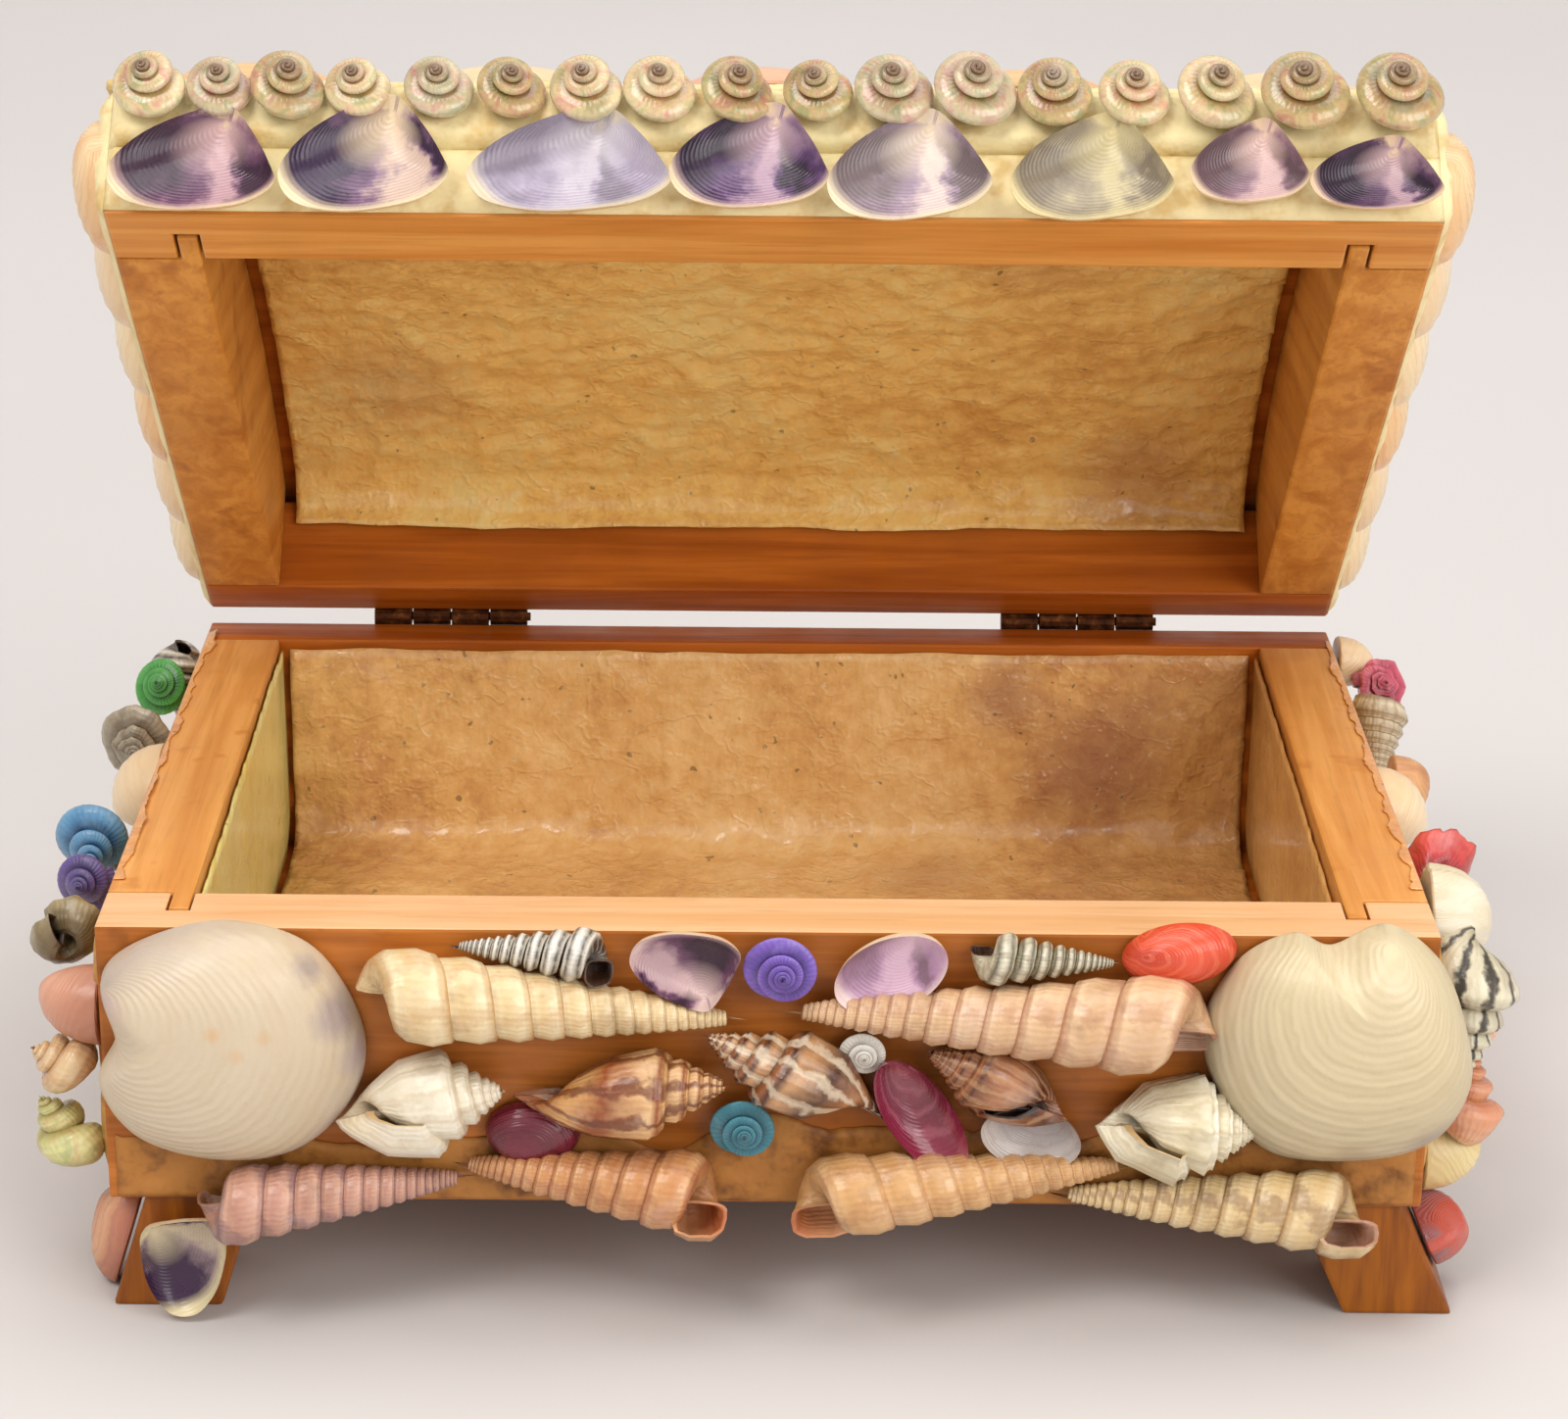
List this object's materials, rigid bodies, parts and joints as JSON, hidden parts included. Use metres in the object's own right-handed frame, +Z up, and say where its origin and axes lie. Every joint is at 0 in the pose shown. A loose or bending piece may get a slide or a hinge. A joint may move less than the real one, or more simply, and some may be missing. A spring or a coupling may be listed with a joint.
{
  "type": "shell-covered trinket box",
  "caption": "Small footed wooden box with a hinged barrel-topped lid, an open tray inside and glued sea shells on its outer faces.",
  "frame": {"origin": "middle of the footprint of the whole object as stored, lid open, on the surface it stands on", "axes": "+X to the box's right seen from the front, along its length, +Y to the back where the hinges are, +Z up"},
  "size_m": [0.1626, 0.1184, 0.1297],
  "materials": {
    "wood": "varnished softwood, satin",
    "paper": "crinkled varnished paper",
    "card": "aged card, matt",
    "hinge": "darkened",
    "shell": "natural shell under varnish",
    "dyed_shell": "dyed shell under varnish",
    "plaster": "painted plaster bed with shells"
  },
  "bodies": {
    "box": {"front_board": "wood", "back_board": "wood", "left_board": "wood", "right_board": "wood", "bottom_board": "wood", "foot_front_left": "wood", "foot_front_right": "wood", "foot_back_left": "wood", "foot_back_right": "wood", "tray_lining": "paper", "left_end_card": "card", "right_end_card": "card", "left_hinge_lower_leaf": "hinge", "right_hinge_lower_leaf": "hinge", "front_clam_left": "shell", "front_clam_right": "shell", "front_turritella_upper_left": "shell", "front_turritella_upper_right": "shell", "front_button_purple": "dyed_shell", "front_wedge_left": "shell", "front_wedge_right": "shell", "front_coral_valve": "dyed_shell", "front_turret_left": "shell", "front_turret_right": "shell", "front_whelk_spotted": "shell", "front_whelk_frilled": "shell", "front_whelk_white": "shell", "front_triton": "shell", "front_whelk_brown": "shell", "front_button_teal": "dyed_shell", "front_button_white": "shell", "front_turritella_lower_1": "shell", "front_turritella_lower_2": "shell", "front_turritella_lower_3": "shell", "front_turritella_lower_4": "shell", "front_rose_valve": "dyed_shell", "front_grey_valve": "shell", "front_magenta_valve": "dyed_shell", "foot_shell_front_left": "shell", "foot_shell_side_left": "shell", "foot_shell_side_right": "shell", "left_end_shells": "dyed_shell", "right_end_shells": "dyed_shell", "back_shells": "shell"},
    "lid": {"lid_front_rail": "wood", "lid_back_rail": "wood", "lid_left_end": "wood", "lid_right_end": "wood", "lid_roof": "wood", "lid_lining": "paper", "left_hinge_upper_leaf": "hinge", "right_hinge_upper_leaf": "hinge", "lid_front_clams": "plaster", "lid_button_row": "plaster", "lid_top_valves": "plaster", "lid_left_valves": "plaster", "lid_right_valves": "plaster", "lid_back_valves": "plaster"}
  },
  "joints": [
    {"name": "lid_hinge", "type": "hinge", "parent": "box", "child": "lid", "pos_m": [0.00035, 0.04541, 0.0458], "axis": [-1, 0, 0], "range_deg": [-44.1, 53]}
  ]
}
